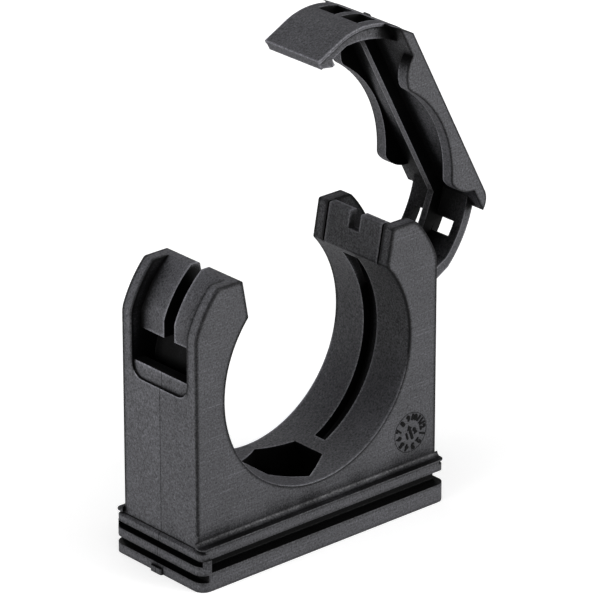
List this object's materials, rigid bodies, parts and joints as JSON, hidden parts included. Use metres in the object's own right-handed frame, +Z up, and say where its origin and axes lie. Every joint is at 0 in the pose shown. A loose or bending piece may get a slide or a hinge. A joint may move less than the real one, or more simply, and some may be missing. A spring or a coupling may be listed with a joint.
{
  "type": "hinged hose holder",
  "caption": "Black moulded clamp holder for a 34.5 mm hose, with a hooked lid on a film hinge and a rail base with a screw seat.",
  "frame": {"origin": "centre of the screw hole in the underside of the base", "axes": "+Y along the hose, +Z up from the base through the hose, +X towards the hinge side"},
  "size_m": [0.0552, 0.019, 0.0744],
  "materials": {
    "polyamide_black": "matte moulded"
  },
  "bodies": {
    "body": {"holder_body": "polyamide_black"},
    "lid": {"lid": "polyamide_black"}
  },
  "joints": [
    {"name": "lid_hinge", "type": "hinge", "parent": "body", "child": "lid", "pos_m": [0.02202, 0, 0.0318], "axis": [0, 1, 0], "range_deg": [-62.6, 27.4]}
  ]
}
